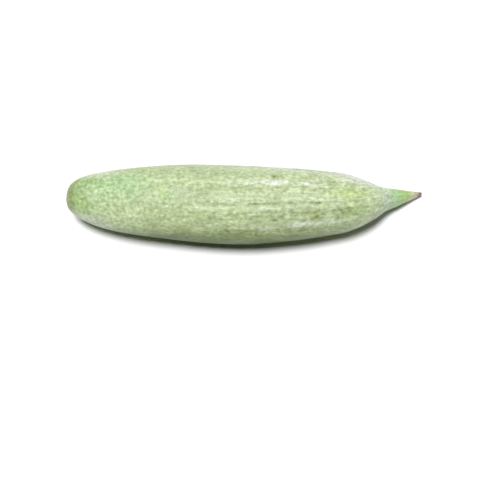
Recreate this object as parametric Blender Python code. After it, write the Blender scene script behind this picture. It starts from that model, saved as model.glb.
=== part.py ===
"""A short snake gourd, picked with a stub of its stem and lying on its belly.

It is one solid, as it grew: a blunt blossom end with its small dry scar at -X, a long body,
a drawn-out neck at +X, and the dry, cut stem that the neck runs into. It rests on a small
flat spot at Z = 0, and the origin is under the middle of its bounding box.
"""

import math

import bmesh
import bpy
from mathutils import Vector, noise

# Driving dimensions, in metres. A station is a distance along the gourd from its blossom end.
LENGTH = 0.230
BELLY_RADIUS = 0.0250
BELLY_STATION = 0.102
FLAT_DEPTH = 0.0008  # how far the belly is pressed in where it rests

# The blossom end is a superellipse turned about the axis, with its tip pressed flat.
NOSE_POWER = 0.735
NOSE_PRESSED = 0.0019
NOSE_EDGE = 0.0010  # over which the flat tip turns into the side

# From the belly to the cut stem: share of the way, and share of the belly's radius there.
TAIL = (
    (0.00, 1.000),
    (0.12, 0.990),
    (0.25, 0.943),
    (0.38, 0.891),
    (0.50, 0.823),
    (0.60, 0.743),
    (0.70, 0.550),
    (0.79, 0.328),
    (0.87, 0.220),
    (0.93, 0.138),
    (0.97, 0.083),
    (1.00, 0.046),
)

# How far the axis leaves a straight line: share of the length, sideways (-Y) and up.
BOW = (
    (0.00, -0.0040, -0.0078),
    (0.12, 0.0015, -0.0037),
    (0.30, 0.0052, -0.0007),
    (0.50, 0.0076, 0.0000),
    (0.68, 0.0054, -0.0019),
    (0.80, 0.0018, -0.0059),
    (0.88, -0.0046, -0.0126),
    (0.94, -0.0099, -0.0178),
    (1.00, -0.0148, -0.0214),
)

# Soft ribs, which deepen where the body draws in to the neck.
RIBS = 10
RIB_DEPTH_BODY = 0.00010
RIB_DEPTH_NECK = 0.00026
RIB_DEEPEST_STATION = 0.196
RIB_FADE = 0.024
RIB_MOST_SHARE = 0.06  # of the radius, which keeps the thin stem round
RIB_WANDER = 0.35  # radians
RIB_WANDER_SEED = 7.0

# The unevenness of a grown thing.
LUMP_HEIGHT = 0.00030
LUMPS_PER_METRE = 26.0
LUMPS_ROUND = 1.1
OVAL_SHARE = 0.012
OVAL_TWIST = 9.0  # radians from end to end

# The blossom scar: a low dry button in a shallow puckered dip.
SCAR_RADIUS = 0.0030
SCAR_HEIGHT = 0.0007
SCAR_EDGE_POWER = 6
DIP_RADIUS = 0.0058
DIP_DEPTH = 0.0004

# The cut across the dry stem has a rounded rim and a slightly sunken face.
CUT_RIM = 0.00025
CUT_FACE_SHARE = 0.72

SEGMENTS = 60
NOSE_RINGS = 26
TAIL_RINGS = 40
NOSE_CROWDING = 1.3
TAIL_CROWDING = 1.5
SHARP_DEGREES = 35
AXIS_STEP = LENGTH / 500  # over which the axis's direction is read

SKIN_COLOUR = (0.535, 0.670, 0.375, 1.0)
SKIN_ROUGHNESS = 0.42


def clear_scene():
    for old in list(bpy.data.objects):
        bpy.data.objects.remove(old, do_unlink=True)


def through(points, at, column=1):
    """A smooth curve through the points, read where the first column is at."""
    last = len(points) - 1
    i = 0
    while i < last - 1 and at > points[i + 1][0]:
        i += 1

    def slope(k):
        low, high = max(0, k - 1), min(last, k + 1)
        return (points[high][column] - points[low][column]) / (points[high][0] - points[low][0])

    start, end = points[i], points[i + 1]
    width = end[0] - start[0]
    t = (at - start[0]) / width
    return (
        (2 * t**3 - 3 * t**2 + 1) * start[column]
        + (t**3 - 2 * t**2 + t) * width * slope(i)
        + (3 * t**2 - 2 * t**3) * end[column]
        + (t**3 - t**2) * width * slope(i + 1)
    )


def pressed(depth):
    """How far behind the flat tip a ring lies, from its depth behind it on the unpressed nose."""
    return (depth + math.sqrt(depth * depth + NOSE_EDGE * NOSE_EDGE)) / 2


def nose_point(turn):
    """Station and radius after that turn, in radians, from the middle of the tip to the belly."""
    depth = (BELLY_STATION + NOSE_PRESSED) * (1 - math.cos(turn)) - NOSE_PRESSED
    tip, belly = pressed(-NOSE_PRESSED), pressed(BELLY_STATION)
    share = (pressed(depth) - tip) / (belly - tip)
    return BELLY_STATION * share, BELLY_RADIUS * math.sin(turn) ** NOSE_POWER


def nose_rings():
    """Station and radius of each ring from the blossom end to the belly, closest at the end."""
    for k in range(1, NOSE_RINGS + 1):
        yield nose_point(math.pi / 2 * (k / NOSE_RINGS) ** NOSE_CROWDING)


def tail_rings():
    """Station and radius of each ring past the belly, closest at the cut, and the cut itself."""
    reach = LENGTH - BELLY_STATION
    for k in range(1, TAIL_RINGS + 1):
        share = 1 - (1 - k / TAIL_RINGS) ** TAIL_CROWDING
        yield BELLY_STATION + reach * share, BELLY_RADIUS * through(TAIL, share)
    cut_radius = BELLY_RADIUS * TAIL[-1][1]
    yield LENGTH + CUT_RIM, CUT_FACE_SHARE * cut_radius


def axis_point(station):
    """Where the middle of the gourd is at that station, before it is set down."""
    share = station / LENGTH
    return Vector((station, -through(BOW, share, 1), through(BOW, share, 2)))


def axis_frame(station):
    """The middle there, with the directions across the axis: sideways and up."""
    low, high = max(0.0, station - AXIS_STEP), min(LENGTH, station + AXIS_STEP)
    along = (axis_point(high) - axis_point(low)).normalized()
    side = Vector((0, 0, 1)).cross(along).normalized()
    return axis_point(min(station, LENGTH)), side, along.cross(side), along


def rib_depth(station, radius):
    away = (station - RIB_DEEPEST_STATION) / RIB_FADE
    depth = RIB_DEPTH_BODY + (RIB_DEPTH_NECK - RIB_DEPTH_BODY) * math.exp(-away * away)
    return min(depth, RIB_MOST_SHARE * radius)


def relief(station, radius, angle):
    """How far the skin stands out from the plain turned shape, in metres."""
    lengthwise = station * LUMPS_PER_METRE
    round_x, round_y = LUMPS_ROUND * math.cos(angle), LUMPS_ROUND * math.sin(angle)
    wander = RIB_WANDER * noise.noise(Vector((lengthwise, round_x, RIB_WANDER_SEED)))
    ribs = rib_depth(station, radius) * math.cos(RIBS * angle + wander)
    height = LUMP_HEIGHT * min(1.0, radius / BELLY_RADIUS)
    lumps = height * noise.noise(Vector((lengthwise, round_x, round_y)))
    oval = OVAL_SHARE * radius * math.cos(2 * angle + OVAL_TWIST * station / LENGTH)
    return ribs + lumps + oval


def scar_rise(radius):
    """How far the blossom end stands out along the axis: a button, in a dip."""
    button = SCAR_HEIGHT / (1 + (radius / SCAR_RADIUS) ** SCAR_EDGE_POWER)
    return button - DIP_DEPTH * math.exp(-((radius / DIP_RADIUS) ** 2))


def skin_point(station, radius, angle):
    middle, side, up, along = axis_frame(station)
    out = radius + relief(station, radius, angle) if radius else 0.0
    across = out * (math.cos(angle) * side + math.sin(angle) * up)
    push = along * max(0.0, station - LENGTH)
    if station < SCAR_RADIUS:
        push -= along * scar_rise(radius)
    return middle + push + across


def turned_mesh():
    """A sphere's rings, each moved to its station on the gourd."""
    rings = [(0.0, 0.0), *nose_rings(), *tail_rings(), (LENGTH + CUT_RIM / 2, 0.0)]
    last = len(rings) - 1
    shape = bmesh.new()
    bmesh.ops.create_uvsphere(shape, u_segments=SEGMENTS, v_segments=last, radius=1.0)
    for vertex in shape.verts:
        height = max(-1.0, min(1.0, vertex.co.z))
        ring = round(math.acos(height) / math.pi * last)
        angle = math.atan2(vertex.co.y, vertex.co.x)
        vertex.co = skin_point(*rings[ring], angle)
    bmesh.ops.recalc_face_normals(shape, faces=shape.faces)
    return shape


def set_down(shape):
    """Sinks the belly to FLAT_DEPTH below Z = 0 and cuts it flat there."""
    lowest = min(vertex.co.z for vertex in shape.verts)
    bmesh.ops.translate(shape, verts=shape.verts, vec=(0, 0, -lowest - FLAT_DEPTH))
    everything = shape.verts[:] + shape.edges[:] + shape.faces[:]
    bmesh.ops.bisect_plane(
        shape, geom=everything, plane_co=(0, 0, 0), plane_no=(0, 0, -1), clear_outer=True
    )
    rim = [edge for edge in shape.edges if edge.is_boundary]
    bmesh.ops.holes_fill(shape, edges=rim, sides=0)


def centre_over_origin(shape):
    for axis in (0, 1):
        low = min(vertex.co[axis] for vertex in shape.verts)
        high = max(vertex.co[axis] for vertex in shape.verts)
        move = Vector((0, 0, 0))
        move[axis] = -(low + high) / 2
        bmesh.ops.translate(shape, verts=shape.verts, vec=move)


def skin_material():
    material = bpy.data.materials.new("skin")
    material.use_nodes = True
    shader = material.node_tree.nodes["Principled BSDF"]
    shader.inputs["Base Color"].default_value = SKIN_COLOUR
    shader.inputs["Roughness"].default_value = SKIN_ROUGHNESS
    shader.inputs["Metallic"].default_value = 0.0
    return material


def build_gourd(collection):
    shape = turned_mesh()
    set_down(shape)
    centre_over_origin(shape)
    mesh = bpy.data.meshes.new("snake_gourd")
    shape.to_mesh(mesh)
    shape.free()
    mesh.shade_smooth()
    mesh.set_sharp_from_angle(angle=math.radians(SHARP_DEGREES))
    mesh.materials.append(skin_material())
    gourd = bpy.data.objects.new("snake_gourd", mesh)
    collection.objects.link(gourd)
    return gourd


def main():
    clear_scene()
    collection = bpy.data.collections.new("Snake gourd")
    bpy.context.scene.collection.children.link(collection)
    build_gourd(collection)


main()
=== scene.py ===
"""How the snake gourd looks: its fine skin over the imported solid, its markings and the studio."""

import math

import bmesh
import bpy
import numpy as np
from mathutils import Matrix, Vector, noise


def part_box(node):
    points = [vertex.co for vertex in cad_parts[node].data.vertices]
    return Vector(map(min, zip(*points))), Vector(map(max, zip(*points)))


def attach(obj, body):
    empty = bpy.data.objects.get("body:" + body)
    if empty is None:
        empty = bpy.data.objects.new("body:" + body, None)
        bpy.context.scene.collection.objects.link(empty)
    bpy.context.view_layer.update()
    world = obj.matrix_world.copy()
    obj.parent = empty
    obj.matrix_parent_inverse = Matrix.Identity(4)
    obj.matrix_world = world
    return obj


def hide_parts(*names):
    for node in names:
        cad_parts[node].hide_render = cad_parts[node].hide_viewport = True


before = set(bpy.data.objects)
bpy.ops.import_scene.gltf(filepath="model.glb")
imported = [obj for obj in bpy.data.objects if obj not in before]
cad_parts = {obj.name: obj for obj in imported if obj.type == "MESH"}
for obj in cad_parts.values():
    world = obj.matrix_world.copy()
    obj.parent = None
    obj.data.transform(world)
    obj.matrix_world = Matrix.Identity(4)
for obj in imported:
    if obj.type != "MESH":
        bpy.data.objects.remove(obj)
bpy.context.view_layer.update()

# The gourd's shape, from the same dimensions as its solid, in metres.
# A station is a distance along the gourd from its blossom end.
LENGTH = 0.230
BELLY_RADIUS = 0.0250
BELLY_STATION = 0.102
FLAT_DEPTH = 0.0008  # how far the belly is pressed in where it rests
NOSE_POWER = 0.735
NOSE_PRESSED = 0.0019
NOSE_EDGE = 0.0010  # over which the flat tip turns into the side

# From the belly to the cut stem: share of the way, and share of the belly's radius there.
TAIL = (
    (0.00, 1.000),
    (0.12, 0.990),
    (0.25, 0.943),
    (0.38, 0.891),
    (0.50, 0.823),
    (0.60, 0.743),
    (0.70, 0.550),
    (0.79, 0.328),
    (0.87, 0.220),
    (0.93, 0.138),
    (0.97, 0.083),
    (1.00, 0.046),
)

# How far the axis leaves a straight line: share of the length, sideways (-Y) and up.
BOW = (
    (0.00, -0.0040, -0.0078),
    (0.12, 0.0015, -0.0037),
    (0.30, 0.0052, -0.0007),
    (0.50, 0.0076, 0.0000),
    (0.68, 0.0054, -0.0019),
    (0.80, 0.0018, -0.0059),
    (0.88, -0.0046, -0.0126),
    (0.94, -0.0099, -0.0178),
    (1.00, -0.0148, -0.0214),
)

# Soft ribs, which deepen where the body draws in to the neck.
RIBS = 10
RIB_DEPTH_BODY = 0.00010
RIB_DEPTH_NECK = 0.00026
RIB_DEEPEST_STATION = 0.196
RIB_FADE = 0.024
RIB_MOST_SHARE = 0.06  # of the radius, which keeps the thin stem round
RIB_WANDER = 0.35  # radians
RIB_WANDER_SEED = 7.0

# The unevenness of a grown thing.
LUMP_HEIGHT = 0.00030
LUMPS_PER_METRE = 26.0
LUMPS_ROUND = 1.1
OVAL_SHARE = 0.012
OVAL_TWIST = 9.0  # radians from end to end

# The blossom scar: a low dry button in a shallow puckered dip.
SCAR_RADIUS = 0.0030
SCAR_HEIGHT = 0.0007
SCAR_EDGE_POWER = 6
DIP_RADIUS = 0.0058
DIP_DEPTH = 0.0004

# The cut across the dry stem has a rounded rim and a slightly sunken face.
CUT_RIM = 0.00025
CUT_FACE_SHARE = 0.72

AXIS_STEP = LENGTH / 500  # over which the axis's direction is read

# The fine mesh: rows round the gourd, closer together at its two ends.
SEGMENTS = 256
RINGS = 384
END_CROWDING = 2.2
END_REACH = 0.012
NOSE_STEPS = 1200
NOSE_CROWDING = 1.5
TAIL_STEPS = 2400

# Fine relief, cut into the skin so that it stays inside the solid's box.
STREAK_DEPTH = 0.00010
STREAKS_ROUND = 9.0
STREAK_LENGTH = 0.045
DIMPLE_DEPTH = 0.00007
DIMPLE_SIZE = 0.0030  # across the gourd
DIMPLE_STRETCH = 2  # times as long along it
PUCKERS = 14
PUCKER_DEPTH = 0.00022
PUCKER_REACH = 0.0075
STEM_STATION = 0.2165
STEM_FADE = 0.0015
STEM_FURROWS = 7
STEM_FURROW_DEPTH = 0.00028
STEM_FURROW_MOST_SHARE = 0.3  # of the radius
STEM_TWIST = 60  # radians per metre
CONTACT_SOFTNESS = 0.0004


def through(points, at, column=1):
    """A smooth curve through the points, read where the first column is at."""
    last = len(points) - 1
    i = 0
    while i < last - 1 and at > points[i + 1][0]:
        i += 1

    def slope(k):
        low, high = max(0, k - 1), min(last, k + 1)
        return (points[high][column] - points[low][column]) / (points[high][0] - points[low][0])

    start, end = points[i], points[i + 1]
    width = end[0] - start[0]
    t = (at - start[0]) / width
    return (
        (2 * t**3 - 3 * t**2 + 1) * start[column]
        + (t**3 - 2 * t**2 + t) * width * slope(i)
        + (3 * t**2 - 2 * t**3) * end[column]
        + (t**3 - t**2) * width * slope(i + 1)
    )


def pressed(depth):
    """How far behind the flat tip a ring lies, from its depth behind it on the unpressed nose."""
    return (depth + math.sqrt(depth * depth + NOSE_EDGE * NOSE_EDGE)) / 2


def nose_point(turn):
    """Station and radius after that turn, in radians, from the middle of the tip to the belly."""
    depth = (BELLY_STATION + NOSE_PRESSED) * (1 - math.cos(turn)) - NOSE_PRESSED
    tip, belly = pressed(-NOSE_PRESSED), pressed(BELLY_STATION)
    share = (pressed(depth) - tip) / (belly - tip)
    return BELLY_STATION * share, BELLY_RADIUS * math.sin(turn) ** NOSE_POWER


def outline():
    """Station and radius of close points from the blossom end to the middle of the cut."""
    turns = math.pi / 2 * np.linspace(0.0, 1.0, NOSE_STEPS) ** NOSE_CROWDING
    points = [nose_point(turn) for turn in turns]
    for share in np.linspace(0.0, 1.0, TAIL_STEPS)[1:]:
        station = BELLY_STATION + (LENGTH - BELLY_STATION) * share
        points.append((station, BELLY_RADIUS * through(TAIL, share)))
    cut_radius = points[-1][1]
    points.append((LENGTH + CUT_RIM, CUT_FACE_SHARE * cut_radius))
    points.append((LENGTH + CUT_RIM / 2, 0.0))
    return np.array(points)


def ring_points():
    """The outline again, as points that lie closest at the two ends, one for each ring."""
    points = outline()
    steps = np.linalg.norm(np.diff(points, axis=0), axis=1)
    run = np.concatenate(([0.0], np.cumsum(steps)))
    middle = (run[1:] + run[:-1]) / 2
    nearest_end = np.minimum(middle, run[-1] - middle)
    weight = steps * (1 + END_CROWDING * np.exp(-nearest_end / END_REACH))
    total = np.concatenate(([0.0], np.cumsum(weight)))
    wanted = np.linspace(0.0, total[-1], RINGS + 1)
    columns = [np.interp(wanted, total, column).tolist() for column in points.T]
    return list(zip(*columns))


def axis_point(station):
    share = station / LENGTH
    return Vector((station, -through(BOW, share, 1), through(BOW, share, 2)))


def axis_frame(station):
    """The middle there, with the directions across the axis, sideways and up, and along it."""
    low, high = max(0.0, station - AXIS_STEP), min(LENGTH, station + AXIS_STEP)
    along = (axis_point(high) - axis_point(low)).normalized()
    side = Vector((0, 0, 1)).cross(along).normalized()
    return axis_point(min(station, LENGTH)), side, along.cross(side), along


def rib_depth(station, radius):
    away = (station - RIB_DEEPEST_STATION) / RIB_FADE
    depth = RIB_DEPTH_BODY + (RIB_DEPTH_NECK - RIB_DEPTH_BODY) * math.exp(-away * away)
    return min(depth, RIB_MOST_SHARE * radius)


def relief(station, radius, angle):
    """How far the solid stands out from the plain turned shape."""
    lengthwise = station * LUMPS_PER_METRE
    round_x, round_y = LUMPS_ROUND * math.cos(angle), LUMPS_ROUND * math.sin(angle)
    wander = RIB_WANDER * noise.noise(Vector((lengthwise, round_x, RIB_WANDER_SEED)))
    ribs = rib_depth(station, radius) * math.cos(RIBS * angle + wander)
    height = LUMP_HEIGHT * min(1.0, radius / BELLY_RADIUS)
    lumps = height * noise.noise(Vector((lengthwise, round_x, round_y)))
    oval = OVAL_SHARE * radius * math.cos(2 * angle + OVAL_TWIST * station / LENGTH)
    return ribs + lumps + oval


def ridges(angle):
    """From 0 in the middle of each furrow to 1 on each ridge."""
    return 0.5 + 0.5 * math.cos(angle)


def fine_relief(station, radius, angle):
    """What the skin adds to the solid: never outwards, and mostly along the gourd."""
    cos, sin = math.cos(angle), math.sin(angle)
    full = min(1.0, radius / BELLY_RADIUS)
    streak = noise.noise(Vector((STREAKS_ROUND * cos, STREAKS_ROUND * sin, station / STREAK_LENGTH)))
    spot = Vector((station / DIMPLE_STRETCH, radius * cos, radius * sin)) / DIMPLE_SIZE
    dimple = noise.noise(spot)
    depth = full * (STREAK_DEPTH * (0.5 - 0.5 * streak) + DIMPLE_DEPTH * (0.5 - 0.5 * dimple))
    pucker = math.exp(-((radius / PUCKER_REACH) ** 2)) if station < PUCKER_REACH else 0.0
    depth += PUCKER_DEPTH * pucker * min(1.0, radius / SCAR_RADIUS) * ridges(PUCKERS * angle)
    stem = 1 / (1 + math.exp(-(station - STEM_STATION) / STEM_FADE))
    furrow = ridges(STEM_FURROWS * angle + STEM_TWIST * station) ** 2
    return -depth - stem * min(STEM_FURROW_DEPTH, STEM_FURROW_MOST_SHARE * radius) * furrow


def scar_rise(radius):
    """How far the blossom end stands out along the axis: a button, in a dip."""
    button = SCAR_HEIGHT / (1 + (radius / SCAR_RADIUS) ** SCAR_EDGE_POWER)
    return button - DIP_DEPTH * math.exp(-((radius / DIP_RADIUS) ** 2))


def skin_point(place, station, radius, angle):
    middle, side, up, along = place
    out = 0.0
    if radius:
        out = radius + relief(station, radius, angle) + fine_relief(station, radius, angle)
    across = out * (math.cos(angle) * side + math.sin(angle) * up)
    push = along * max(0.0, station - LENGTH)
    if station < SCAR_RADIUS:
        push -= along * scar_rise(radius)
    return middle + push + across


def turned_mesh():
    """A sphere's rings, each moved to its station, with every vertex's station and angle."""
    rings = ring_points()
    places = [axis_frame(station) for station, _ in rings]
    shape = bmesh.new()
    bmesh.ops.create_uvsphere(shape, u_segments=SEGMENTS, v_segments=RINGS, radius=1.0)
    grown = []
    for vertex in shape.verts:
        height = max(-1.0, min(1.0, vertex.co.z))
        ring = round(math.acos(height) / math.pi * RINGS)
        angle = math.atan2(vertex.co.y, vertex.co.x)
        grown.append((*rings[ring], angle))
        vertex.co = skin_point(places[ring], *rings[ring], angle)
    bmesh.ops.recalc_face_normals(shape, faces=shape.faces)
    mesh = bpy.data.meshes.new("gourd_skin")
    shape.to_mesh(mesh)
    shape.free()
    return mesh, np.array(grown)


def set_down(mesh):
    """Moves the skin to where the solid lies, and flattens the belly softly where it rests."""
    points = np.zeros(len(mesh.vertices) * 3)
    mesh.vertices.foreach_get("co", points)
    points = points.reshape(-1, 3)
    low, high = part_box("snake_gourd")
    for axis in (0, 1):
        middle = (points[:, axis].min() + points[:, axis].max()) / 2
        points[:, axis] += (low[axis] + high[axis]) / 2 - middle
    height = points[:, 2] - points[:, 2].min() - FLAT_DEPTH
    settled = (height + np.sqrt(height**2 + CONTACT_SOFTNESS**2)) / 2
    points[:, 2] = settled - settled.min()
    mesh.vertices.foreach_set("co", points.ravel())
    mesh.update()


# The lights are strong enough to show a colour this many times as bright as it is.
EXPOSURE = 1.25


def colour(red, green, blue):
    """The linear colour that shows as these sRGB numbers, 0 to 255, in the studio's light."""
    channels = [value / 255 for value in (red, green, blue)]
    linear = [c / 12.92 if c <= 0.04045 else ((c + 0.055) / 1.055) ** 2.4 for c in channels]
    return [c / EXPOSURE for c in linear]


# The skin's broad colours, from the blossom end to the cut: station and colour.
LENGTHWISE = (
    (0.0000, colour(158, 166, 134)),
    (0.0025, colour(146, 158, 106)),
    (0.0060, colour(143, 162, 100)),
    (0.0100, colour(164, 186, 130)),
    (0.0180, colour(180, 200, 152)),
    (0.0800, colour(187, 203, 154)),
    (0.1600, colour(192, 207, 164)),
    (0.1780, colour(198, 214, 164)),
    (0.1920, colour(208, 226, 178)),
    (0.1985, colour(206, 223, 190)),
    (0.2045, colour(194, 219, 180)),
    (0.2110, colour(182, 216, 158)),
    (0.2165, colour(170, 206, 122)),
    (0.2200, colour(202, 215, 158)),
    (0.2230, colour(217, 216, 184)),
    (0.2262, colour(212, 205, 176)),
    (0.2286, colour(146, 134, 110)),
    (0.2305, colour(150, 138, 112)),
)

MINT = colour(164, 200, 146)
FRESH_GREEN = colour(150, 190, 104)
LEAF_GREEN = colour(158, 192, 112)
YELLOW_GREEN = colour(192, 208, 140)
BRIGHT_GREEN = colour(186, 208, 126)
OLIVE = colour(150, 168, 104)
DULL_GREEN = colour(170, 186, 144)
# Painted light: a paler green that lifts the shade on the lower front.
PAINTED_LIGHT_GREEN = colour(206, 222, 172)
# Grey wax, and also painted rim light along the lower edge of the nose.
GREY_WAX_AND_RIM_LIGHT = colour(208, 216, 200)
# Pale wax, and also painted rim light along the edges.
PALE_WAX_AND_RIM_LIGHT = colour(222, 231, 212)
# Painted rim light: a near-white for the top edge.
PAINTED_RIM_LIGHT = colour(234, 240, 230)
# A deeper green underside, darkened further as painted shade beneath the gourd.
UNDERSIDE_AND_PAINTED_SHADE = colour(124, 148, 74)
# Painted contact shade: a dark olive for the lower front edge.
PAINTED_SHADE_OLIVE = colour(92, 118, 40)

# Broad patches of another colour: station, degrees round the axis, half the length in metres,
# half the width in degrees, colour, and how much of it. Some rows are painted shade, painted
# light or painted rim light, as marked.
PATCHES = (
    # Partly a deeper green underside and partly painted shade beneath the gourd.
    (0.105, 256, 0.070, 86, UNDERSIDE_AND_PAINTED_SHADE, 1.0),
    # Painted contact shade: the next two rows darken the lower front edge to dark olive.
    (0.098, 212, 0.070, 29, PAINTED_SHADE_OLIVE, 1.0),
    (0.108, 202, 0.050, 32, PAINTED_SHADE_OLIVE, 0.85),
    # Painted light: the next three rows make the lower front of the body paler, where it turns away
    # from the light.
    (0.040, 154, 0.020, 15, PAINTED_LIGHT_GREEN, 0.6),
    (0.075, 155, 0.016, 12, PAINTED_LIGHT_GREEN, 0.5),
    (0.100, 150, 0.016, 10, PAINTED_LIGHT_GREEN, 0.5),
    (0.074, 108, 0.024, 14, DULL_GREEN, 0.55),
    (0.092, 68, 0.030, 14, DULL_GREEN, 0.5),
    # Painted rim light: a pale band along the lower edge of the neck, as light from the floor.
    (0.194, 192, 0.012, 16, PALE_WAX_AND_RIM_LIGHT, 0.35),
    # Painted light: paler where the lower side of the nose tip turns into shade.
    (0.003, 203, 0.005, 26, PAINTED_LIGHT_GREEN, 0.4),
    # Painted rim light along the lower edge of the nose, as light from the floor.
    (0.018, 190, 0.018, 23, GREY_WAX_AND_RIM_LIGHT, 0.6),
    (0.034, 94, 0.024, 22, MINT, 0.5),
    (0.014, 78, 0.006, 16, LEAF_GREEN, 0.4),
    (0.015, 140, 0.006, 18, LEAF_GREEN, 0.55),
    (0.064, 110, 0.0045, 8, FRESH_GREEN, 0.6),
    (0.060, 165, 0.020, 14, OLIVE, 0.20),
    (0.100, 172, 0.030, 14, OLIVE, 0.25),
    (0.135, 174, 0.030, 12, OLIVE, 0.45),
    (0.155, 141, 0.0065, 9, OLIVE, 0.65),
    (0.167, 131, 0.003, 14, PALE_WAX_AND_RIM_LIGHT, 0.25),
    (0.176, 104, 0.011, 13, BRIGHT_GREEN, 0.5),
    (0.173, 137, 0.008, 11, OLIVE, 0.6),
    (0.184, 148, 0.006, 14, FRESH_GREEN, 0.3),
    (0.170, 165, 0.008, 14, MINT, 0.3),
    (0.188, 165, 0.010, 12, DULL_GREEN, 0.45),
    # Painted rim light: the next three rows pale the top edge of the neck, the body and the nose, as
    # a sheen from the bright studio.
    (0.188, 50, 0.018, 33, PAINTED_RIM_LIGHT, 0.9),
    (0.150, 42, 0.050, 16, PALE_WAX_AND_RIM_LIGHT, 0.55),
    (0.020, 40, 0.016, 24, PALE_WAX_AND_RIM_LIGHT, 0.5),
    (0.045, 262, 0.022, 22, MINT, 0.6),
    (0.110, 292, 0.026, 18, YELLOW_GREEN, 0.45),
    (0.150, 236, 0.020, 20, OLIVE, 0.4),
    (0.080, 15, 0.024, 20, DULL_GREEN, 0.5),
    (0.125, 340, 0.012, 14, GREY_WAX_AND_RIM_LIGHT, 0.4),
    (0.055, 330, 0.020, 20, YELLOW_GREEN, 0.4),
    (0.175, 300, 0.012, 16, MINT, 0.4),
)

PATCH_EDGE_POWER = 1.5  # 1 would give the softest edges

# How far and how finely the patches' edges wander. A second, finer wander adds to the first.
WANDER_SIZE = 0.012
WANDER_ROUND = 2.1
WANDER_ALONG = 0.005
WANDER_DEGREES = 9
WANDER_FINER = 2.1
WANDER_FINER_SHARE = 0.5
WANDER_SEED = 2  # for the offsets that noise_vector draws

# The dry scar, the puckered lines round it, and how much of its colour each part takes.
SCAR_BROWN = colour(150, 126, 96)
SCAR_DARK = colour(84, 74, 52)
SCAR_RIM = 0.0005
PUCKER_SHARE = 0.55
BUTTON_SHARE = 0.85
RIM_SHARE = 0.7

# Streaks along the skin: degrees round the axis, the two stations between which each one shows,
# half its width in degrees, and its strength, above 0 where it is pale and waxy, and below 0
# where it is darker than the skin.
STREAKS = (
    (51, 0.098, 0.178, 8.0, 0.50),
    (70, 0.110, 0.160, 3.0, -0.20),
    (76, 0.168, 0.194, 4.5, 0.80),
    (87, 0.060, 0.112, 4.2, 0.40),
    (87, 0.113, 0.171, 6.3, 1.05),
    (91, 0.174, 0.194, 3.5, -0.40),
    (97, 0.085, 0.172, 4.0, -0.55),
    (114, 0.085, 0.170, 4.0, 0.40),
    (121, 0.086, 0.182, 2.4, -0.50),
    (128, 0.070, 0.156, 3.8, 0.42),
    (125, 0.168, 0.190, 2.6, 0.60),
    (134, 0.072, 0.182, 2.8, -0.55),
    (148, 0.080, 0.180, 6.0, -0.35),
    (157, 0.112, 0.168, 4.6, 1.30),
    (168, 0.090, 0.180, 4.0, -0.35),
    (190, 0.090, 0.170, 4.0, 0.25),
    (206, 0.080, 0.160, 4.0, -0.40),
    (222, 0.110, 0.160, 4.0, 0.35),
    (236, 0.080, 0.175, 3.0, -0.45),
    (250, 0.095, 0.180, 4.0, 0.25),
    (263, 0.090, 0.150, 4.5, -0.40),
    (275, 0.105, 0.170, 4.0, 0.40),
    (288, 0.080, 0.185, 3.0, -0.50),
    (300, 0.070, 0.140, 4.0, 0.50),
    (314, 0.090, 0.180, 4.0, -0.40),
    (326, 0.110, 0.175, 4.0, 0.90),
    (339, 0.080, 0.165, 3.0, -0.45),
    (354, 0.080, 0.150, 3.0, 0.60),
    (7, 0.095, 0.185, 3.5, -0.40),
    (20, 0.100, 0.165, 3.8, 0.80),
    (34, 0.085, 0.170, 3.5, -0.35),
)
STREAK_END_FADE = 0.007


def degrees_past(middle, degrees):
    """How far round the gourd the degrees are from the middle, from -180 to 180."""
    return (degrees - middle + 180) % 360 - 180


def falloff(station, degrees, mark):
    """1 in the middle of a mark (station, degrees, half length, half width), and 0 well outside."""
    at, middle, half_length, half_width = mark
    turned = degrees_past(middle, degrees)
    reach = ((station - at) / half_length) ** 2 + (turned / half_width) ** 2
    return np.exp(-(reach**PATCH_EDGE_POWER))


def uneven(station, angle):
    """The station and degrees of each point, moved about so that patches have uneven edges."""
    noise.seed_set(WANDER_SEED)
    moves = []
    for at, turn in zip(station.tolist(), angle.tolist()):
        round_x, round_y = WANDER_ROUND * math.cos(turn), WANDER_ROUND * math.sin(turn)
        spot = Vector((at / WANDER_SIZE, round_x, round_y))
        finer = noise.noise_vector(WANDER_FINER * spot)
        move = noise.noise_vector(spot) + WANDER_FINER_SHARE * finer
        moves.append((WANDER_ALONG * move.x, WANDER_DEGREES * move.y))
    along, degrees = np.array(moves).T
    return station + along, np.degrees(angle) + degrees


def scar_colours(tint, station, radius, angle):
    """Adds the puckered lines round the blossom scar, its dry button and the button's dark rim."""
    near = station < DIP_RADIUS  # because the stem is as thin as the scar
    lines = np.exp(-(((radius - DIP_RADIUS) / SCAR_RADIUS) ** 2))
    lines *= (0.5 + 0.5 * np.cos(PUCKERS * angle)) ** 2
    button = 1 / (1 + (radius / SCAR_RADIUS) ** SCAR_EDGE_POWER)
    rim = np.exp(-(((radius - SCAR_RADIUS) / SCAR_RIM) ** 2))
    parts = (
        (lines, PUCKER_SHARE, OLIVE),
        (button, BUTTON_SHARE, SCAR_BROWN),
        (rim, RIM_SHARE, SCAR_DARK),
    )
    for part, amount, patch in parts:
        share = (amount * near * part)[:, None]
        tint = (1 - share) * tint + share * np.array(patch)
    return tint


def broad_colours(station, degrees):
    """The skin's colour at each point, with the patches' painted shade and painted light, but
    without its finer markings.
    """
    stops, colours = zip(*LENGTHWISE)
    channels = np.array(colours).T
    tint = np.stack([np.interp(station, stops, channel) for channel in channels], axis=1)
    for *mark, patch, amount in PATCHES:
        share = amount * falloff(station, degrees, mark)[:, None]
        tint = (1 - share) * tint + share * np.array(patch)
    return tint


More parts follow.
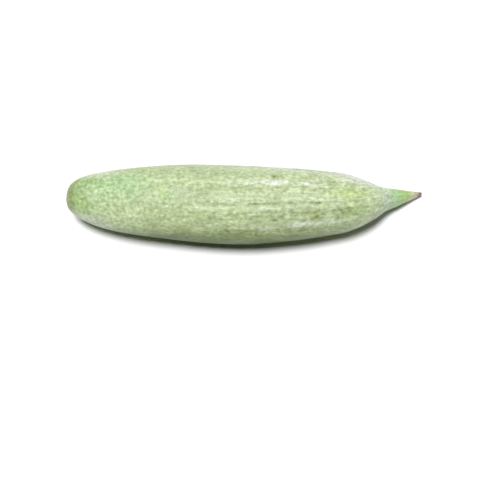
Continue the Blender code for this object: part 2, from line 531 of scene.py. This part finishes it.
def streak_strengths(station, degrees):
    """Above 0 on a pale streak, and below 0 on a dark one."""
    total = np.zeros(len(station))
    for middle, start, end, half_width, strength in STREAKS:
        turned = degrees_past(middle, degrees) / half_width
        rise = 1 / (1 + np.exp(-(station - start) / STREAK_END_FADE))
        fall = 1 / (1 + np.exp((station - end) / STREAK_END_FADE))
        total += strength * np.exp(-(turned**2)) * rise * fall
    return total


def add_marks(mesh, grown):
    """The attributes that the material reads: places on the skin, broad colours with their painted
    shade and light, and streaks.

    unbent is the place on the gourd as if its axis were straight, and even is the same place
    on a gourd that is as thick all along, so that its lines run into the neck.
    """
    station, radius, angle = grown.T
    degrees = np.degrees(angle) % 360
    round_y, round_z = np.cos(angle), np.sin(angle)
    even = np.stack((station, BELLY_RADIUS * round_y, BELLY_RADIUS * round_z), axis=1)
    unbent = np.stack((station, radius * round_y, radius * round_z), axis=1)
    for name, values in (("unbent", unbent), ("even", even)):
        attribute = mesh.attributes.new(name, "FLOAT_VECTOR", "POINT")
        attribute.data.foreach_set("vector", values.astype(np.float32).ravel())
    tint = np.ones((len(station), 4), dtype=np.float32)
    tint[:, :3] = scar_colours(broad_colours(*uneven(station, angle)), station, radius, angle)
    # The tint attribute carries the painted shade and painted light of the patches too.
    attribute = mesh.attributes.new("tint", "FLOAT_COLOR", "POINT")
    attribute.data.foreach_set("color", tint.ravel())
    attribute = mesh.attributes.new("streak", "FLOAT", "POINT")
    attribute.data.foreach_set("value", streak_strengths(station, degrees).astype(np.float32))


# How far one more seed moves the noise, in its own units, and where its values lie.
SEEDS_APART = (17.3, 9.1, 4.7)
NOISE_MIDDLE = 0.5
NOISE_SPREAD = 4.0  # values mostly stay within a quarter of the middle


class Graph:
    """Adds nodes to one material and wires them.

    A size is in metres, along the gourd and across it, and detail is how many times finer
    noise is added to the noise of that size.
    """

    def __init__(self, material):
        self.tree = material.node_tree

    def add(self, kind, inputs, **settings):
        node = self.tree.nodes.new(kind)
        for name, value in settings.items():
            setattr(node, name, value)
        for name, value in inputs.items():
            if isinstance(value, bpy.types.NodeSocket):
                self.tree.links.new(value, node.inputs[name])
            else:
                node.inputs[name].default_value = value
        return node

    def attribute(self, name, output="Vector"):
        return self.add("ShaderNodeAttribute", {}, attribute_name=name).outputs[output]

    def maths(self, operation, a, b):
        return self.add("ShaderNodeMath", {0: a, 1: b}, operation=operation).outputs[0]

    def vector(self, operation, *values):
        inputs = dict(enumerate(values))
        return self.add("ShaderNodeVectorMath", inputs, operation=operation).outputs[0]

    def product(self, first, *others):
        for other in others:
            first = self.maths("MULTIPLY", first, other)
        return first

    def total(self, first, *others):
        for other in others:
            first = self.maths("ADD", first, other)
        return first

    def part(self, vector, axis):
        return self.add("ShaderNodeSeparateXYZ", {0: vector}).outputs[axis]

    def step(self, value, low, high, start=0.0, end=1.0):
        """From start at low to end at high, smoothly, and no further on either side."""
        limits = {"Value": value, "From Min": low, "From Max": high, "To Min": start, "To Max": end}
        node = self.add("ShaderNodeMapRange", limits, interpolation_type="SMOOTHSTEP", clamp=True)
        return node.outputs["Result"]

    def scaled(self, vector, size, seed):
        """The vector in units of the size, moved far off by the seed."""
        along, across = size
        unit = (1 / along, 1 / across, 1 / across)
        offset = tuple(seed * apart for apart in SEEDS_APART)
        return self.vector("MULTIPLY_ADD", vector, unit, offset)

    def clouds(self, vector, size, detail, seed):
        """Soft noise from 0 to 1, mostly near NOISE_MIDDLE."""
        inputs = {"Vector": self.scaled(vector, size, seed), "Scale": 1.0, "Detail": detail}
        return self.add("ShaderNodeTexNoise", inputs).outputs["Fac"]

    def swing(self, vector, size, detail, seed, levels):
        """Soft noise round 0, of about that many levels of 255 either way."""
        centred = self.maths("SUBTRACT", self.clouds(vector, size, detail, seed), NOISE_MIDDLE)
        return self.maths("MULTIPLY", centred, NOISE_SPREAD * levels / 255)

    def cells(self, vector, size, seed):
        """The distance from the middle of the nearest cell, and that cell's random number."""
        inputs = {"Vector": self.scaled(vector, size, seed), "Scale": 1.0}
        node = self.add("ShaderNodeTexVoronoi", inputs)
        chance = self.add("ShaderNodeSeparateColor", {0: node.outputs["Color"]}).outputs[0]
        return node.outputs["Distance"], chance

    def mix(self, share, first, second):
        factor, colour_a, colour_b, colour_out = 0, 6, 7, 2  # the node's sockets for colours
        inputs = {factor: share, colour_a: first, colour_b: second}
        return self.add("ShaderNodeMix", inputs, data_type="RGBA").outputs[colour_out]


# Soft markings: size in metres along the gourd and across it, detail, seed, and strength in
# levels of 255.
FLECKS = ((0.0025, 0.0021), 1, 1, 28)
GRAIN = ((0.0014, 0.0011), 1, 4, 8)
FINE_GRAIN = ((0.0007, 0.0004), 2, 13, 9)
MOTTLES = ((0.0075, 0.0050), 1, 5, 4)
CLOUDS = ((0.024, 0.014), 1, 6, 3)
DASHES = ((0.0060, 0.0017), 1, 2, 17)
LINES = ((0.110, 0.0042), 2, 23, 11)
YELLOWS = ((0.0060, 0.0035), 1, 10, 3)

# Soft noise that frays the streaks, and for the finish: size, detail and seed.
FRAY = ((0.013, 0.0030), 2, 9)
BUMPS = ((0.0014, 0.0011), 1, 11)
WEAR = ((0.024, 0.014), 2, 12)

# Dots: size of a cell, seed, how far a dot reaches in its cell, the share of the cells that have
# one, and strength in levels of 255, below 0 where it is darker than the skin.
SPECKS = ((0.0034, 0.0028), 7, 0.42, 0.30, 26)
PITS = ((0.0090, 0.0070), 8, 0.16, 0.35, -30)
DOT_CORE = 0.35  # the share of its reach over which a dot is at full strength
CHANCE_FADE = 0.1  # so that some dots are only faint

# One more level of 255 on the skin, as the share that each channel gains, times 255.
ONE_LIGHTER = (3.06, 2.78, 3.50)

# One more level yellower, in the same way.
ONE_YELLOWER = (0.48, 0.24, -3.20)

# Between which stations the markings change, and how strong they are from there on.
LINES_START, LINES_FULL = 0.050, 0.110
FLECKS_ON_BODY = 0.83
LINES_FADE, LINES_LEAST = 0.135, 0.165
LINES_NEAR_NECK = 0.8
NECK_START, NECK_FULL = 0.200, 0.214
MARKS_ON_NECK = 0.6
STEM_START, STEM_FULL = 0.213, 0.219
GRAIN_ON_STEM = 2.8

# The waxy and the dark streaks.
WAX = (*colour(227, 233, 223), 1.0)
MOST_WAX = 0.7
PALE_STREAK_LEVELS = 6
DARK_STREAK_LEVELS = 36
FRAYED = (0.34, 0.62)  # the noise at which a streak is gone, and whole

# The finish. Heights are in metres.
LEAST_ROUGHNESS = 0.30
WEAR_DULLNESS = 0.35
SHIFT_DULLNESS = 0.6
STREAK_DULLNESS = 0.12
SHIFT_HEIGHT = 0.0010
STREAK_HEIGHT = 0.00010
BUMPS_HEIGHT = 0.00008
BUMP_STRENGTH = 0.7
SPECULAR = 0.3
SHEEN = 0.12
SHEEN_ROUGHNESS = 0.5


def dots(graph, at, size, seed, reach, share, levels):
    """Small soft dots, one in a cell, in that share of the cells."""
    distance, chance = graph.cells(at, size, seed)
    dot = graph.step(distance, DOT_CORE * reach, reach, 1.0, 0.0)
    chosen = graph.step(chance, 1 - share - CHANCE_FADE, 1 - share + CHANCE_FADE)
    return graph.product(dot, chosen, levels / 255)


def lightness(graph, at, even, station):
    """How much lighter or darker than its broad colour the skin is, with 1 for 255 levels."""
    lined = graph.step(station, LINES_START, LINES_FULL)
    fading = graph.step(station, LINES_FADE, LINES_LEAST, 1.0, LINES_NEAR_NECK)
    on_body = graph.step(station, LINES_START, LINES_FULL, 1.0, FLECKS_ON_BODY)
    on_neck = graph.step(station, NECK_START, NECK_FULL, 1.0, MARKS_ON_NECK)
    on_stem = graph.step(station, STEM_START, STEM_FULL, 1.0, GRAIN_ON_STEM)
    shift = graph.total(
        graph.product(graph.swing(at, *FLECKS), on_body),
        graph.product(graph.swing(even, *DASHES), lined),
        graph.product(graph.swing(even, *LINES), lined, fading),
        graph.product(graph.swing(at, *GRAIN), on_stem),
        graph.swing(at, *FINE_GRAIN),
        graph.swing(at, *MOTTLES),
        graph.swing(at, *CLOUDS),
        graph.product(dots(graph, at, *SPECKS), on_body),
        dots(graph, at, *PITS),
    )
    return graph.product(shift, on_neck)


def add_finish(graph, shader, at, shift, streak):
    """Roughness and bump: waxy flecks and streaks are duller and stand a little proud."""
    bumps = graph.clouds(at, *BUMPS)
    wear = graph.clouds(at, *WEAR)
    dullness = graph.total(
        graph.product(shift, SHIFT_DULLNESS),
        graph.product(streak, STREAK_DULLNESS),
        graph.product(wear, WEAR_DULLNESS),
        LEAST_ROUGHNESS,
    )
    rough = graph.step(dullness, 0.0, 1.0)
    graph.tree.links.new(rough, shader.inputs["Roughness"])
    height = graph.total(
        graph.product(shift, SHIFT_HEIGHT),
        graph.product(streak, STREAK_HEIGHT),
        graph.product(bumps, BUMPS_HEIGHT),
    )
    inputs = {"Height": height, "Distance": 1.0, "Strength": BUMP_STRENGTH}
    bump = graph.add("ShaderNodeBump", inputs)
    graph.tree.links.new(bump.outputs["Normal"], shader.inputs["Normal"])


def skin_material():
    material = bpy.data.materials.new("gourd_skin")
    material.use_nodes = True
    shader = material.node_tree.nodes["Principled BSDF"]
    graph = Graph(material)
    at, even = graph.attribute("unbent"), graph.attribute("even")
    station = graph.part(at, 0)
    shift = lightness(graph, at, even, station)
    # The tint holds painted shade and painted light as well as the skin's own colours.
    tint = graph.attribute("tint", "Color")
    frayed = graph.step(graph.clouds(even, *FRAY), *FRAYED)
    streak = graph.product(graph.attribute("streak", "Fac"), frayed)
    tint = graph.mix(graph.step(streak, 0.0, 1.0, 0.0, MOST_WAX), tint, WAX)
    paler = graph.product(graph.maths("MAXIMUM", streak, 0.0), PALE_STREAK_LEVELS / 255)
    darker = graph.product(graph.maths("MINIMUM", streak, 0.0), DARK_STREAK_LEVELS / 255)
    gain = graph.vector("MULTIPLY_ADD", graph.total(shift, paler, darker), ONE_LIGHTER, (1, 1, 1))
    gain = graph.vector("MULTIPLY_ADD", graph.swing(at, *YELLOWS), ONE_YELLOWER, gain)
    graph.tree.links.new(graph.vector("MULTIPLY", tint, gain), shader.inputs["Base Color"])
    add_finish(graph, shader, at, shift, streak)
    shader.inputs["Specular IOR Level"].default_value = SPECULAR
    shader.inputs["Sheen Weight"].default_value = SHEEN
    shader.inputs["Sheen Roughness"].default_value = SHEEN_ROUGHNESS
    return material


def build_gourd():
    mesh, grown = turned_mesh()
    set_down(mesh)
    add_marks(mesh, grown)
    mesh.shade_smooth()
    mesh.materials.append(skin_material())
    gourd = bpy.data.objects.new("gourd_skin", mesh)
    bpy.context.scene.collection.objects.link(gourd)
    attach(gourd, "root")
    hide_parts("snake_gourd")


# The studio: where the camera looks, from how far and how high, and the floor.
AIM = Vector((0.00207, -0.01963, 0.0))
CAMERA_DISTANCE = 0.71917
CAMERA_ELEVATION = math.radians(60)
LENS = 80.0
FLOOR_SIZE = 40.0
FLOOR_COLOUR = (0.76, 0.755, 0.765, 1.0)
FLOOR_ROUGHNESS = 0.9

# Each light's direction from the gourd, how many degrees it spans and its strength.
LIGHTS = {
    "key": ((-0.14, -0.18, 0.97), 20, 4.26),
    "back": ((-0.10, 0.84, 0.53), 28, 0.70),
}
WORLD_STRENGTH = 0.03


def build_camera():
    camera = bpy.data.objects.new("camera", bpy.data.cameras.new("camera"))
    bpy.context.scene.collection.objects.link(camera)
    back = Vector((0, -math.cos(CAMERA_ELEVATION), math.sin(CAMERA_ELEVATION)))
    camera.location = AIM + CAMERA_DISTANCE * back
    camera.rotation_euler = (math.pi / 2 - CAMERA_ELEVATION, 0, 0)
    camera.data.lens = LENS
    bpy.context.scene.camera = camera


def build_floor():
    bpy.ops.mesh.primitive_plane_add(size=FLOOR_SIZE)
    floor = bpy.context.object
    floor.name = "floor"
    material = bpy.data.materials.new("floor")
    material.use_nodes = True
    shader = material.node_tree.nodes["Principled BSDF"]
    shader.inputs["Base Color"].default_value = FLOOR_COLOUR
    shader.inputs["Roughness"].default_value = FLOOR_ROUGHNESS
    shader.inputs["Specular IOR Level"].default_value = 0.0
    floor.data.materials.append(material)


def build_lights():
    for name, (direction, degrees, strength) in LIGHTS.items():
        light = bpy.data.objects.new(name, bpy.data.lights.new(name, "SUN"))
        bpy.context.scene.collection.objects.link(light)
        towards = Vector(direction).normalized()
        light.location = towards
        light.rotation_euler = (-towards).to_track_quat("-Z", "Y").to_euler()
        light.data.angle = math.radians(degrees)
        light.data.energy = strength


def build_world():
    """Gives only a little light, and is white where it is seen past the floor."""
    world = bpy.data.worlds.new("world")
    world.use_nodes = True
    nodes, links = world.node_tree.nodes, world.node_tree.links
    background = nodes["Background"]
    background.inputs["Color"].default_value = (1, 1, 1, 1)
    path = nodes.new("ShaderNodeLightPath")
    strength = nodes.new("ShaderNodeMapRange")
    strength.inputs["To Min"].default_value = WORLD_STRENGTH
    links.new(path.outputs["Is Camera Ray"], strength.inputs["Value"])
    links.new(strength.outputs["Result"], background.inputs["Strength"])
    bpy.context.scene.world = world
    bpy.context.scene.view_settings.view_transform = "Standard"


build_gourd()
build_camera()
build_floor()
build_lights()
build_world()
